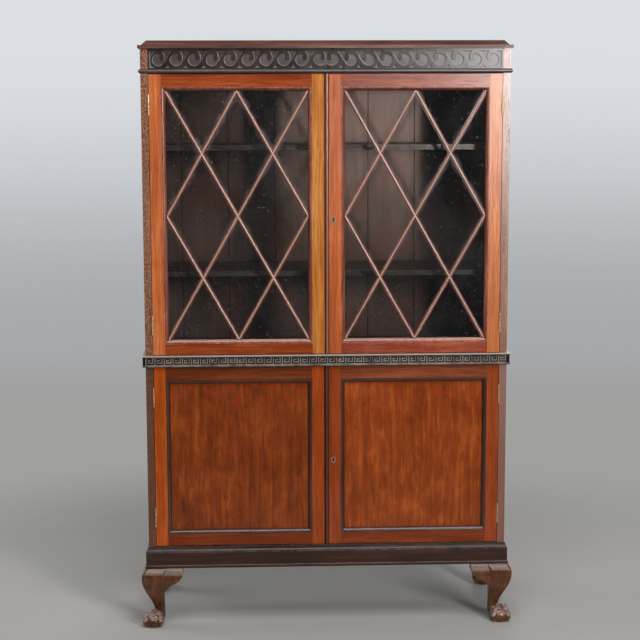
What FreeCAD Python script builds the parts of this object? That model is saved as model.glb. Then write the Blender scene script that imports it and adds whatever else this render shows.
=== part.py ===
# Glazed bookcase over a two-door cupboard, on short cabriole legs with ball and claw feet.
# Millimetres, +Z up, +X to the right of someone facing the doors, +Y towards the back.
# The origin is on the floor, midway between the sides and midway from front to back.
import FreeCAD, Part
import math
import os

V = FreeCAD.Vector

# Driving dimensions of the carcase
carcase_width = 1090.0
carcase_depth = 390.0
side_thickness = 22.0
bottom_board_thickness = 17.5
lower_opening_height = 555.5
middle_rail_height = 34.5
middle_rail_depth = 45.0
middle_board_thickness = 20.0
upper_opening_height = 836.5
carcase_top_thickness = 20.0
frieze_height = 72.5
frieze_thickness = 22.0
back_board_width = 149.0
back_board_thickness = 10.0
back_board_chamfer = 2.0
back_setback = 16.0
back_rebate = 10.0

# Driving dimensions of the mouldings
cornice_overhang = 7.0
cornice_fillet_height = 9.3
cornice_step = 10.0
cornice_bevel_width = 14.0
cornice_bevel_height = 14.2
frieze_bead_height = 13.0
frieze_bead_projection = 6.0
key_band_projection = 9.0
key_band_fillet = 4.0
key_band_sinking = 1.5
key_pitch = 27.5
plinth_cap_height = 17.5
plinth_cap_fillet = 3.0
plinth_cap_hollow = 0.37

# Driving dimensions of the scroll carving
carving_depth = 3.0
carving_border_top = 8.7
carving_border_bottom = 3.5
carving_border_side = 6.5
scroll_top_band = 7.1
scroll_bottom_band = 5.0
scroll_end_margin = 24.5
scroll_end_band = 5.0
scroll_centre_band = 3.0
scroll_reach = 1.06
scroll_spacing = 2.98

# Driving dimensions of the base
leg_height = 186.5
plinth_height = 49.5
plinth_thickness = 24.0
plinth_projection = 9.0
plinth_lip_height = 9.5
plinth_lip_projection = 2.5
leg_top_width = 62.0
knee_width = 68.0
knee_projection = 23.0
knee_drop = 40.0
top_roundness = 0.12
knee_roundness = 0.30
ankle_width = 32.0
ankle_roundness = 0.60
ankle_setback = 28.5
ankle_height = 48.0
heel_width = 38.0
heel_height = 20.0
ball_radius = 33.0
ball_flatness = 0.74
ball_setback = 9.0
ball_flat_depth = 5.4
claw_root_radius = 8.0
claw_knuckle_radius = 9.5
claw_hollow_radius = 6.5
claw_joint_radius = 9.0
claw_nail_radius = 6.0
claw_tip_radius = 4.0
claw_rise = 0.5
claw_sides = 8
claw_spread = 90.0
web_thickness = 1.6
web_arch_radius = 19.0
web_arch_drop = 4.0
wing_reach = 50.0
wing_end_height = 22.0
wing_thickness = 30.0
wing_root = 28.0
wing_inset = 0.8
wing_ogee = 3.0

# The leg between knee and ankle: share of the fall, then how far it has come to the ankle's size and place
leg_stations = ((0.0, 0.0), (0.36, 0.30), (0.64, 0.68), (0.88, 0.95), (1.0, 1.0))
wing_station = 1

# Heights along a claw, as angles above the ball's centre
claw_elevations = (80.0, 50.0, 28.0, 7.0, -15.0, -37.0)

# Driving dimensions of the shelves
shelf_thickness = 15.0
shelf_front_setback = 65.0
shelf_end_clearance = 1.0
shelf_back_clearance = 1.0
upper_shelf_height = 625.5
lower_shelf_height = 246.0
cupboard_shelf_height = 280.0
shelf_groove = 1.5
batten_height = 20.0
batten_thickness = 12.0
batten_setback = 18.0
batten_bevel = 12.0

# Driving dimensions of the doors
door_thickness = 22.0
door_side_gap = 1.5
door_end_gap = 2.0
meeting_gap = 1.6
upper_meeting_x = -6.2
lower_meeting_x = -8.0
stile_width = 36.0
upper_top_rail_height = 37.0
upper_bottom_rail_height = 33.0
lower_top_rail_height = 38.5
lower_bottom_rail_height = 35.5
moulding_width = 11.5
moulding_setback = 0.8
moulding_edge = 3.5
moulding_fullness = 0.63
rebate_width = 8.0
panel_recess = 12.0
panel_thickness = 8.0
panel_clearance = 0.5
glass_thickness = 3.0
glazing_bead_bevel = 3.2
tenon_length = 20.0
tenon_thickness = 7.0
tenon_setback = 3.0
tenon_shoulder = 6.0
tenon_end_gap = 0.5
bar_width = 12.5
bar_bead_width = 8.0
bar_base_depth = 4.0
meeting_bead_width = 13.0
meeting_bead_projection = 5.0

# Driving dimensions of the hinges
hinge_length = 60.0
hinge_inset = 90.0
hinge_leaf_width = 16.0
hinge_leaf_thickness = 1.2
hinge_pivot_proud = 1.5
knuckle_radius = 3.0
knuckle_count = 3
knuckle_gap = 0.4
knuckle_clearance = 0.4
pin_radius = 1.5
pin_clearance = 0.05

# Driving dimensions of the locks and door bolts
lock_width = 30.0
lock_height = 56.0
lock_depth = 12.0
lock_wall = 1.5
lock_bolt_height = 18.0
lock_bolt_thickness = 6.0
lock_bolt_length = 22.0
lock_bolt_throw = 8.0
slide_clearance = 0.3
keyhole_drop = 10.0
keyhole_setback = 26.0
keyhole_radius = 3.0
keyhole_slot_radius = 1.6
keyhole_length = 8.0
escutcheon_wall = 3.2
escutcheon_thickness = 1.5
escutcheon_proud = 0.4
bolt_plate_width = 18.0
bolt_plate_length = 64.0
bolt_plate_thickness = 1.5
bolt_width = 8.0
bolt_thickness = 4.0
bolt_length = 52.0
bolt_throw = 14.0
bolt_end_setback = 3.0
bolt_staple_length = 9.0
bolt_staple_wall = 1.5
bolt_knob_radius = 3.5
bolt_knob_height = 4.0
bolt_plate_end_gap = 2.0
bolt_edge_distance = 18.0

# Levels and faces that follow from the sizes above
half_width = carcase_width / 2
front = -carcase_depth / 2
back = carcase_depth / 2
inner = half_width - side_thickness
plinth_top = leg_height + plinth_height
lower_floor = plinth_top + bottom_board_thickness
middle_bottom = lower_floor + lower_opening_height
middle_top = middle_bottom + middle_rail_height
frieze_bottom = middle_top + upper_opening_height
cornice_bottom = frieze_bottom + frieze_height
back_face = back - back_setback - back_board_thickness
hinge_edge = inner - door_side_gap
pivot_u = -door_side_gap / 2
pivot_v = -hinge_pivot_proud
bore_radius = pin_radius + pin_clearance
overrun = 1.0

nodes = {}


def box(x0, x1, y0, y1, z0, z1):
    return Part.makeBox(x1 - x0, y1 - y0, z1 - z0, V(x0, y0, z0))


def outline(points, place):
    # Each step is a point, or a pair of points for an arc that passes through the first
    edges = []
    last = place(*points[0])
    for step in points[1:] + [points[0]]:
        if isinstance(step[0], tuple):
            end = place(*step[1])
            edges.append(Part.Arc(last, place(*step[0]), end).toShape())
        else:
            end = place(*step)
            if end.distanceToPoint(last) > 1e-6:
                edges.append(Part.LineSegment(last, end).toShape())
        last = end
    return Part.Wire(edges)


def prism(points, place, direction):
    return Part.Face(outline(points, place)).extrude(direction)


def upright(points, z0, z1):
    return prism(points, lambda x, y: V(x, y, z0), V(0, 0, z1 - z0))


def group(solids):
    return Part.makeCompound(solids)


def mirror_x(shape):
    return shape.mirror(V(0, 0, 0), V(1, 0, 0))


def mirror_y(shape):
    return shape.mirror(V(0, 0, 0), V(0, 1, 0))


def edge_run(profile, half_length, low, high, mitre_end):
    # A strip along X whose profile is given as outward distance and height, mitred at its ends
    reach = half_length + high
    strip = prism(profile, lambda out, z: V(-reach, -out, z), V(2 * reach, 0, 0))
    ends = [(-half_length - low, -low), (-half_length - high, -high)]
    if mitre_end:
        ends += [(half_length + high, -high), (half_length + low, -low)]
    else:
        ends += [(half_length, -high), (half_length, -low)]
    bounds = strip.BoundBox
    return strip.common(upright(ends, bounds.ZMin - overrun, bounds.ZMax + overrun))


def wrap(profile, low, high, closed=False):
    # The strip runs along the front and both sides of the carcase, and along the back if closed
    front_run = edge_run(profile, half_width, low, high, True).translated(V(0, front, 0))
    side_run = edge_run(profile, carcase_depth / 2, low, high, closed)
    side_run.rotate(V(0, 0, 0), V(0, 0, 1), 90)
    right_run = side_run.translated(V(half_width, 0, 0))
    runs = [front_run, right_run, mirror_x(right_run)]
    if closed:
        runs.append(mirror_y(front_run))
    return runs


def ring(u0, u1, w0, w1, profile, width):
    # Four mitred strips round the inside of an opening, with the profile as inward distance and depth
    strips = []
    corners = [(u0, w0), (u1, w0), (u1, w1), (u0, w1)]
    for turn, (u, w) in enumerate(corners):
        length = u1 - u0 if turn % 2 == 0 else w1 - w0
        strip = prism(profile, lambda i, v: V(0, v, i), V(length, 0, 0))
        depth = strip.BoundBox
        ends = [(0, 0), (length, 0), (length - width, width), (width, width)]
        low = depth.YMin - overrun
        mitre = prism(ends, lambda s, i: V(s, low, i), V(0, depth.YLength + 2 * overrun, 0))
        strip = strip.common(mitre)
        strip.rotate(V(0, 0, 0), V(0, -1, 0), 90 * turn)
        strips.append(strip.translated(V(u, 0, w)))
    return strips


# Hinges, in door coordinates: u runs from the hinge edge, v runs back from the front face
def knuckle_spans(low):
    pitch = hinge_length / knuckle_count
    spans = []
    for index in range(knuckle_count):
        start = low + index * pitch + knuckle_gap / 2
        spans.append((start, start + pitch - knuckle_gap))
    return spans


def barrel(radius, low, high):
    return Part.makeCylinder(radius, high - low, V(pivot_u, pivot_v, low))


def hinge_leaf(low, u0, own):
    leaf = box(u0, u0 + hinge_leaf_thickness, pivot_v, hinge_leaf_width, low, low + hinge_length)
    for index, (start, end) in enumerate(knuckle_spans(low)):
        if index % 2 == own:
            leaf = leaf.fuse(barrel(knuckle_radius, start, end))
        else:
            room = barrel(knuckle_radius + knuckle_clearance, start - knuckle_gap, end + knuckle_gap)
            leaf = leaf.cut(room)
    bore = barrel(bore_radius, low - overrun, low + hinge_length + overrun)
    return leaf.cut(bore).removeSplitter()


def hinge_pin(low):
    return barrel(pin_radius, low + knuckle_gap / 2, low + hinge_length - knuckle_gap / 2)


def knuckle_room(low):
    clear = knuckle_clearance
    return barrel(knuckle_radius + clear, low - clear, low + hinge_length + clear)


def hinge_lows(bottom, top):
    half = hinge_length / 2
    return [bottom + hinge_inset - half, top - hinge_inset - half]


# Keyhole and escutcheon outline: a large circle over a small one, joined by tangents
def pear(grow, place):
    big = keyhole_radius + grow
    little = keyhole_slot_radius + grow
    drop = keyhole_length
    lean = math.asin((big - little) / drop)
    across, down = math.cos(lean), math.sin(lean)
    points = [(-big * across, -big * down), ((0, big), (big * across, -big * down))]
    points.append((little * across, -drop - little * down))
    points.append(((0, -drop - little), (-little * across, -drop - little * down)))
    return outline(points, place)


class Door:
    # A framed door in its own coordinates, with absolute heights
    def __init__(self, width, bottom, top, top_rail, bottom_rail, meeting_stile):
        self.width = width
        self.bottom = bottom
        self.top = top
        self.top_rail = top_rail
        self.bottom_rail = bottom_rail
        self.meeting_stile = meeting_stile
        self.u0 = stile_width
        self.u1 = width - meeting_stile
        self.w0 = bottom + bottom_rail
        self.w1 = top - top_rail
        self.lows = hinge_lows(bottom, top)

    def seat(self, v0, v1, inset):
        reach = rebate_width - inset
        return box(self.u0 - reach, self.u1 + reach, v0, v1, self.w0 - reach, self.w1 + reach)

    def tenon(self, w0, w1, extra):
        reach = tenon_length + extra
        low = w0 + tenon_shoulder
        high = w1 - tenon_shoulder
        v0 = tenon_setback
        return box(self.u0 - reach, self.u1 + reach, v0, v0 + tenon_thickness, low, high)

    def frame(self, seat_end):
        hollow = self.seat(panel_recess, seat_end, 0)
        spans = [(self.bottom, self.w0), (self.w1, self.top)]
        rails = []
        mortises = []
        for low, high in spans:
            rail = box(self.u0, self.u1, 0, door_thickness, low, high).fuse(self.tenon(low, high, 0))
            rails.append(rail.cut(hollow).removeSplitter())
            mortises.append(self.tenon(low, high, tenon_end_gap))
        hinge_stile = box(0, self.u0, 0, door_thickness, self.bottom, self.top)
        meeting_stile = box(self.u1, self.width, 0, door_thickness, self.bottom, self.top)
        stiles = [hinge_stile, meeting_stile]
        for low in self.lows:
            recess = box(0, hinge_leaf_thickness, 0, hinge_leaf_width, low, low + hinge_length)
            stiles[0] = stiles[0].cut(group([knuckle_room(low), recess]))
        stiles = [stile.cut(hollow).cut(group(mortises)) for stile in stiles]
        return stiles, rails

    def moulding(self):
        profile = [(0, panel_recess), (0, moulding_setback), (moulding_edge, moulding_setback)]
        low_edge = panel_recess - moulding_edge
        run = moulding_width - moulding_edge
        fall = low_edge - moulding_setback
        bulge = (moulding_edge + run * moulding_fullness, low_edge - fall * moulding_fullness)
        profile.append((bulge, (moulding_width, low_edge)))
        profile.append((moulding_width, panel_recess))
        return ring(self.u0, self.u1, self.w0, self.w1, profile, moulding_width)

    def lattice(self):
        u0 = self.u0 + moulding_width
        u1 = self.u1 - moulding_width
        w0 = self.w0 + moulding_width
        w1 = self.w1 - moulding_width
        um = (u0 + u1) / 2
        wm = (w0 + w1) / 2
        lines = [((u0, w0), (u1, w1)), ((u0, w1), (u1, w0))]
        for u in (u0, u1):
            for w in (w0, w1):
                lines.append(((um, w), (u, wm)))
        bars = [glazing_bar(start, end) for start, end in lines]
        sight = box(u0, u1, 0, panel_recess, w0, w1)
        return bars[0].fuse(bars[1:]).common(sight).removeSplitter()

    def glazing_beads(self):
        v0 = panel_recess + glass_thickness
        width = rebate_width
        bevel = glazing_bead_bevel
        profile = [(0, v0), (0, door_thickness), (width - bevel, door_thickness)]
        profile += [(width, door_thickness - bevel), (width, v0)]
        return ring(self.u0 - width, self.u1 + width, self.w0 - width, self.w1 + width, profile, width)

    def hinge_leaves(self):
        return [hinge_leaf(low, 0, 1) for low in self.lows]


def glazing_bar(start, end):
    # A flat fillet carrying a half-round bead, longer than its line so that its ends can be trimmed
    along = V(end[0] - start[0], 0, end[1] - start[1])
    length = along.Length
    along.normalize()
    across = V(-along.z, 0, along.x)
    extra = 4 * bar_width
    origin = V(start[0], 0, start[1]) - along * extra
    shoulder = panel_recess - bar_base_depth
    half = bar_width / 2
    bead = bar_bead_width / 2
    points = [(-half, panel_recess), (-half, shoulder), (-bead, shoulder)]
    points += [((0, shoulder - bead), (bead, shoulder)), (half, shoulder), (half, panel_recess)]
    return prism(points, lambda b, v: origin + across * b + V(0, v, 0), along * (length + 2 * extra))


# The lock on a right-hand door, beside its meeting edge
def lock_parts(door):
    edge = door.width
    middle = (door.bottom + door.top) / 2
    v1 = door_thickness
    v0 = v1 - lock_depth
    low = middle - lock_height / 2
    case = box(edge - lock_width, edge, v0, v1, low, low + lock_height)
    wall = lock_wall
    hollow = box(edge - lock_width + wall, edge - wall, v0 + wall, v1 - wall,
                 low + wall, low + lock_height - wall)
    bolt_v = (v0 + v1) / 2
    half = lock_bolt_thickness / 2
    room = slide_clearance
    bolt_low = middle + keyhole_radius
    bolt_high = bolt_low + lock_bolt_height
    bolt_end = edge - room
    bolt_start = bolt_end - lock_bolt_length
    bolt = box(bolt_start, bolt_end, bolt_v - half, bolt_v + half, bolt_low, bolt_high)
    strike = (bolt_v - half - room, bolt_v + half + room, bolt_low - room, bolt_high + room)
    slot = box(edge - wall - overrun, edge + overrun, *strike)
    ledge_top = bolt_low - room
    ledge = box(bolt_start, edge - wall, v0 + wall, v1 - wall, ledge_top - wall, ledge_top)
    hole_u = edge - keyhole_setback
    hole_w = middle - keyhole_drop

    def on_face(v):
        return lambda a, b: V(hole_u + a, v, hole_w + b)

    hole = Part.Face(pear(0, on_face(-overrun)))
    keyhole = hole.extrude(V(0, v0 + wall + 2 * overrun, 0))
    pocket = case
    case = case.cut(hollow).fuse(ledge).cut(slot).cut(keyhole).removeSplitter()
    blank = Part.Face(pear(escutcheon_wall, on_face(-escutcheon_proud)))
    blank = blank.extrude(V(0, escutcheon_thickness, 0))
    escutcheon = blank.cut(keyhole)
    stile_cut = group([pocket, keyhole, blank])
    return case, bolt, escutcheon, stile_cut, strike


# A surface bolt on the back of a left-hand door, drawn for the top edge
def bolt_parts(door, at_top):
    centre = door.width - bolt_edge_distance
    v0 = door_thickness
    sign = 1 if at_top else -1
    edge = door.top if at_top else door.bottom

    def span(u0, u1, va, vb, from_edge, to_edge):
        ends = sorted([edge - sign * from_edge, edge - sign * to_edge])
        return box(u0, u1, va, vb, ends[0], ends[1])

    half_plate = bolt_plate_width / 2
    half = bolt_width / 2
    plate_end = bolt_plate_end_gap + bolt_plate_length
    plate_v = v0 + bolt_plate_thickness
    plate = span(centre - half_plate, centre + half_plate, v0, plate_v, bolt_plate_end_gap, plate_end)
    bolt_v = plate_v + slide_clearance
    bolt_top = bolt_v + bolt_thickness
    room = slide_clearance
    outer = half + room + bolt_staple_wall
    staples = [bolt_plate_end_gap, plate_end - bolt_throw - bolt_staple_length]
    staple_v = bolt_top + room + bolt_staple_wall
    for start in staples:
        end = start + bolt_staple_length
        plate = plate.fuse(span(centre - outer, centre + outer, v0, staple_v, start, end))
    slack = half + room
    channel = span(centre - slack, centre + slack, plate_v, bolt_top + room, -overrun, plate_end + overrun)
    plate = plate.cut(channel).removeSplitter()
    bar_end = bolt_end_setback + bolt_length
    bar = span(centre - half, centre + half, bolt_v, bolt_top, bolt_end_setback, bar_end)
    knob_at = bolt_plate_end_gap + bolt_staple_length + bolt_throw + bolt_knob_radius + 2 * room
    knob_w = edge - sign * knob_at
    knob = Part.makeCylinder(bolt_knob_radius, bolt_knob_height, V(centre, bolt_top, knob_w), V(0, 1, 0))
    bolt = bar.fuse(knob).removeSplitter()
    depth = bolt_throw - bolt_end_setback + overrun
    socket = span(centre - slack, centre + slack, bolt_v - room, bolt_top + room, 0, -depth)
    return plate, bolt, socket


# Legs: built at the front left corner, with offsets measured out from the carcase corner
def rounded_square(offset, half, radius, z):
    cx = -(half_width + offset)
    cy = front - offset
    flat = half - radius
    bulge = flat + radius * math.sqrt(0.5)
    points = [(-flat, -half)]
    for turn in range(4):
        quarter = math.pi / 2 * turn
        steps = [(flat, -half), ((bulge, -bulge), (half, -flat))]
        for step in steps:
            points.append(turned(step, quarter))
    return outline(points, lambda x, y: V(cx + x, cy + y, z))


def turned(step, angle):
    if isinstance(step[0], tuple):
        return tuple(turned(point, angle) for point in step)
    c, s = math.cos(angle), math.sin(angle)
    return (step[0] * c - step[1] * s, step[0] * s + step[1] * c)


def leg_station(share, toward):
    # Offset outward, half width, corner roundness and height of one section of the leg
    knee_half = knee_width / 2
    ankle_half = ankle_width / 2
    knee_offset = knee_projection - knee_half
    knee_z = leg_height - knee_drop
    half = knee_half + (ankle_half - knee_half) * toward
    offset = knee_offset + (-ankle_setback - knee_offset) * toward
    roundness = knee_roundness + (ankle_roundness - knee_roundness) * toward
    return offset, half, half * roundness, knee_z - (knee_z - ankle_height) * share


def cabriole_leg():
    top_half = leg_top_width / 2
    heel_half = heel_width / 2
    top_offset = plinth_projection - top_half
    heel_offset = -ankle_setback - ankle_width / 2 + heel_half
    sections = [rounded_square(top_offset, top_half, top_half * top_roundness, leg_height)]
    for share, toward in leg_stations:
        sections.append(rounded_square(*leg_station(share, toward)))
    heel = rounded_square(heel_offset, heel_half, heel_half * ankle_roundness, heel_height)
    shin = Part.makeLoft(sections, True, False)
    return shin.fuse(Part.makeLoft([sections[-1], heel], True, False))


def claw(centre, aim):
    # A toe laid over the ball, thick at its two joints and thin at the nail
    up = V(0, 0, 1)
    side = aim.cross(up)
    radii = [claw_root_radius, claw_knuckle_radius, claw_hollow_radius]
    radii += [claw_joint_radius, claw_nail_radius, claw_tip_radius]
    sections = []
    for elevation, radius in zip(claw_elevations, radii):
        lean = math.radians(elevation)
        normal = aim * math.cos(lean) + up * math.sin(lean)
        along = aim * math.cos(lean) + up * (math.sin(lean) * ball_flatness)
        middle = centre + along * (ball_radius + claw_rise)
        corners = []
        for index in range(claw_sides):
            turn = 2 * math.pi * (index + 0.5) / claw_sides
            corners.append(middle + (normal * math.cos(turn) + side * math.sin(turn)) * radius)
        sections.append(Part.makePolygon(corners + corners[:1]))
    return Part.makeLoft(sections, True, True)


def spheroid(centre, radius, half_height):
    pole = V(0, 0, half_height)
    ellipse = Part.Ellipse(centre + V(radius, 0, 0), centre + pole, centre)
    rim = Part.ArcOfEllipse(ellipse, -math.pi / 2, math.pi / 2).toShape()
    profile = Part.Wire([rim, Part.LineSegment(centre + pole, centre - pole).toShape()])
    return Part.Face(profile).revolve(centre, V(0, 0, 1), 360)


def claw_foot():
    # A flattened ball gripped by four claws, under a web of skin that arches from claw to claw
    out = V(-1, -1, 0) / math.sqrt(2)
    side = V(-out.y, out.x, 0)
    ball_half = ball_radius * ball_flatness
    centre = V(-(half_width - ball_setback), front + ball_setback, ball_half - ball_flat_depth)
    claws = []
    for angle in (0, claw_spread, -claw_spread, 180):
        turn = math.radians(angle)
        claws.append(claw(centre, out * math.cos(turn) + side * math.sin(turn)))
    reach = 4 * ball_radius
    span = (centre.x - reach, centre.x + reach, centre.y - reach, centre.y + reach)
    arches = [box(*span, -reach, centre.z), box(*span, centre.z + ball_half, reach)]
    for way in (V(1, 0, 0), V(0, 1, 0), V(-1, 0, 0), V(0, -1, 0)):
        start = centre + way * web_arch_radius / 2 - V(0, 0, web_arch_drop)
        arches.append(Part.makeCylinder(web_arch_radius, reach, start, way))
    web = spheroid(centre, ball_radius + web_thickness, ball_half + web_thickness).cut(arches)
    ball = spheroid(centre, ball_radius, ball_half)
    return ball.fuse([web] + claws).cut(box(*span, -reach, 0))


def sagged(start, end, rise):
    # An arc from start to end, bowed to the right of the way by the rise
    x, z = end[0] - start[0], end[1] - start[1]
    length = math.hypot(x, z)
    middle = ((start[0] + end[0]) / 2 + z / length * rise, (start[1] + end[1]) / 2 - x / length * rise)
    return (middle, end)


def knee_wing():
    # A bracket beside the knee: its face carries on the knee's swell and its lower edge is an ogee
    knee_offset, knee_half, _, knee_z = leg_station(*leg_stations[0])
    low_offset, low_half, _, low_z = leg_station(*leg_stations[wing_station])
    x0 = -(half_width + plinth_projection) + leg_top_width
    x1 = x0 + wing_reach
    tip = (x1, leg_height - wing_end_height)
    heel = (-(half_width + low_offset) + low_half, low_z)
    root = x0 - wing_root
    waist = ((tip[0] + heel[0]) / 2, (tip[1] + heel[1]) / 2)
    points = [(root, leg_height), (x1, leg_height), tip, sagged(tip, waist, -wing_ogee),
              sagged(waist, heel, wing_ogee), (root, low_z)]
    y0 = front - knee_projection
    shape = prism(points, lambda x, z: V(x, y0, z), V(0, knee_projection + wing_thickness, 0))
    back = front + wing_thickness
    face = front + wing_inset
    swell = [(back, leg_height), (face - plinth_projection, leg_height),
             ((face - knee_offset - knee_half, knee_z), (face - low_offset - low_half, low_z)),
             (back, low_z)]
    return shape.common(prism(swell, lambda y, z: V(root, y, z), V(x1 - root, 0, 0)))


def swap_corner(shape):
    # Turns a bracket on the front of the front left leg into the one on its side
    corner = V(-half_width, front, 0)
    return shape.mirror(corner, V(1, -1, 0))


def make_legs():
    wing = knee_wing()
    leg = cabriole_leg().fuse(claw_foot())
    front_leg = leg.fuse([wing, swap_corner(wing)])
    back_leg = mirror_y(leg.fuse(swap_corner(wing)))
    nodes["front_legs"] = group([front_leg, mirror_x(front_leg)])
    nodes["back_legs"] = group([back_leg, mirror_x(back_leg)])


# Plinth, cap, bead, key band and cornice
def make_mouldings():
    out = plinth_projection
    lip = out + plinth_lip_projection
    lip_top = leg_height + plinth_lip_height
    low = out - plinth_thickness
    bulge = (lip, (leg_height + lip_top) / 2)
    profile = [(low, leg_height), (out, leg_height), (bulge, (out, lip_top))]
    profile += [(out, plinth_top), (low, plinth_top)]
    nodes["plinth_boards"] = group(wrap(profile, low, lip, closed=True))

    cap_top = plinth_top + plinth_cap_height
    fillet = plinth_cap_fillet
    rise = plinth_top + fillet
    profile = [(0, plinth_top), (out, plinth_top), (out, rise)]
    neck = cap_top - fillet
    hollow = (fillet + (out - fillet) * plinth_cap_hollow, rise + (neck - rise) * plinth_cap_hollow)
    profile += [(hollow, (fillet, neck)), (fillet, cap_top), (0, cap_top)]
    nodes["plinth_cap"] = group(wrap(profile, 0, out))

    top = frieze_bottom + frieze_bead_height
    half = frieze_bead_height / 2
    profile = [(0, frieze_bottom), ((frieze_bead_projection, frieze_bottom + half), (0, top))]
    nodes["frieze_bead"] = group(wrap(profile, 0, frieze_bead_projection))

    out = key_band_projection
    sunk = out - key_band_sinking
    low_field = middle_bottom + key_band_fillet
    high_field = middle_top - key_band_fillet
    profile = [(0, middle_bottom), (out, middle_bottom), (out, low_field), (sunk, low_field)]
    profile += [(sunk, high_field), (out, high_field), (out, middle_top), (0, middle_top)]
    band = wrap(profile, 0, out)
    keys = (key_row(half_width), key_row(carcase_depth / 2))
    front_keys = [key.translated(V(0, front, 0)) for key in keys[0]]
    for key in keys[1]:
        key.rotate(V(0, 0, 0), V(0, 0, 1), 90)
    right_keys = [key.translated(V(half_width, 0, 0)) for key in keys[1]]
    left_keys = [mirror_x(key) for key in right_keys]
    runs = zip(band, (front_keys, right_keys, left_keys))
    nodes["key_band"] = group([run.fuse(keys).removeSplitter() for run, keys in runs])


def key_row(half_length):
    # Raised Greek keys in a row along X, on a grid of eight columns by seven rows a key
    count = max(1, round(2 * half_length / key_pitch))
    pitch = 2 * half_length / count
    column = pitch / 8
    low = middle_bottom + key_band_fillet
    row = (middle_rail_height - 2 * key_band_fillet) / 7
    steps = [(0, 0), (8, 0), (8, 1), (1, 1), (1, 6), (6, 6), (6, 3), (3, 3), (3, 4), (5, 4), (5, 5)]
    steps += [(2, 5), (2, 2), (7, 2), (7, 7), (0, 7)]
    points = [(a * column - half_length, low + b * row) for a, b in steps]
    key = prism(points, lambda x, z: V(x, -key_band_projection, z), V(0, key_band_sinking, 0))
    return [key.translated(V(index * pitch, 0, 0)) for index in range(count)]


def make_cornice():
    over = half_width + cornice_overhang
    y0 = front - cornice_overhang
    slab_top = cornice_bottom + cornice_fillet_height
    top = slab_top + cornice_bevel_height
    slab = box(-over, over, y0, back, cornice_bottom, slab_top)

    def plan(inset, z):
        x = over - inset
        return outline([(-x, y0 + inset), (x, y0 + inset), (x, back), (-x, back)], lambda a, b: V(a, b, z))

    step = plan(cornice_step, slab_top)
    crown = Part.makeLoft([step, plan(cornice_step + cornice_bevel_width, top)], True, True)
    nodes["cornice"] = slab.fuse(crown).removeSplitter()


def make_carcase():
    rebate_low = plinth_top - overrun
    rebate = box(0, inner + back_rebate, back_face, back + overrun, rebate_low, cornice_bottom + overrun)
    side = box(inner, half_width, front, back, plinth_top, cornice_bottom).cut(rebate)
    cuts = []
    for bottom, top in door_spans.values():
        for low in hinge_lows(bottom, top):
            leaf = hinge_leaf_thickness
            room = box(-door_side_gap - leaf, -door_side_gap, 0, hinge_leaf_width, low, low + hinge_length)
            cuts += [knuckle_room(low), room]
    side = side.cut(place_right(group(cuts)))
    nodes["side_right"] = side
    nodes["side_left"] = mirror_x(side)

    ceiling = frieze_bottom + carcase_top_thickness
    top = box(-inner, inner, front + frieze_thickness, back_face, frieze_bottom, ceiling)
    bottom = box(-inner, inner, front, back_face, plinth_top, lower_floor)
    rail = box(-inner, inner, front, front + middle_rail_depth, middle_bottom, middle_top)
    board = box(-inner, inner, front, back_face, middle_top - middle_board_thickness, middle_top)
    middle = rail.fuse(board).removeSplitter()
    nodes["carcase_top"] = top.cut(group(sockets))
    nodes["bottom_board"] = bottom.cut(group(sockets))
    nodes["middle_board"] = middle.cut(group(sockets))
    make_back_boards()


def make_back_boards():
    reach = inner + back_rebate
    joints = [0.0]
    while joints[-1] + back_board_width < reach - back_board_width / 4:
        joints.append(joints[-1] + back_board_width)
    joints.append(reach)
    boards = []
    y1 = back_face + back_board_thickness
    bevel = back_board_chamfer
    for x0, x1 in zip(joints, joints[1:]):
        plan = [(x0 + bevel, back_face), (x1 - bevel, back_face), (x1, back_face + bevel), (x1, y1)]
        plan += [(x0, y1), (x0, back_face + bevel)]
        board = upright(plan, plinth_top, cornice_bottom)
        boards += [board, mirror_x(board)]
    nodes["back_boards"] = group(boards)


def make_shelves():
    reach = inner - shelf_end_clearance
    battens = []
    for name, level in shelf_levels.items():
        top = level + shelf_thickness
        step = shelf_thickness / 3
        points = [(shelf_back, level), (shelf_back, top), (shelf_front, top)]
        for z in (top - step, level + step):
            half = shelf_groove / 2
            points += [(shelf_front, z + half), (shelf_front + shelf_groove, z), (shelf_front, z - half)]
        points.append((shelf_front, level))
        nodes[name] = prism(points, lambda y, z: V(-reach, y, z), V(2 * reach, 0, 0))

        start = shelf_front + batten_setback
        low = level - batten_height
        points = [(start, level), (start, low + batten_bevel), (start + batten_bevel, low)]
        points += [(shelf_back, low), (shelf_back, level)]
        batten = prism(points, lambda y, z: V(inner - batten_thickness, y, z), V(batten_thickness, 0, 0))
        battens += [batten, mirror_x(batten)]
    nodes["shelf_battens"] = group(battens)


# The carved frieze: a running scroll on each half, left standing where its ground is sunk
def scroll_outline(radius, pitch, top, gap):
    # One ground pocket about its scroll's centre: a disc that opens to the upper right round a curled eye
    def scaled(*points):
        pairs = [(x * radius, y * radius) for x, y in points]
        return pairs[0] if len(pairs) == 1 else tuple(pairs)

    start = (0.60 * radius, top)
    curl = [scaled((-0.72, 0.69), (0.38, 0.86)), scaled((0.24, 0.66), (0.25, 0.40))]
    curl += [scaled((0.64, -0.10), (1.02, 0.24)), (scaled((0.98, 0.86)), start)]
    if gap:
        middle = gap / 2
        foot = [scaled((0.5, -0.93), (-1.0, 0.0))]
        return [start, (middle, top), (middle, -0.65 * radius)] + foot + curl
    crest = (pitch - 0.78 * radius, top)
    back = ((pitch - 1.28 * radius, 0.74 * radius), (pitch - 1.61 * radius, 0.08 * radius))
    foot = [scaled((0.93, -0.48)), scaled((-0.31, -0.95), (-1.0, 0.0))]
    return [start, crest, back] + foot + curl


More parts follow.
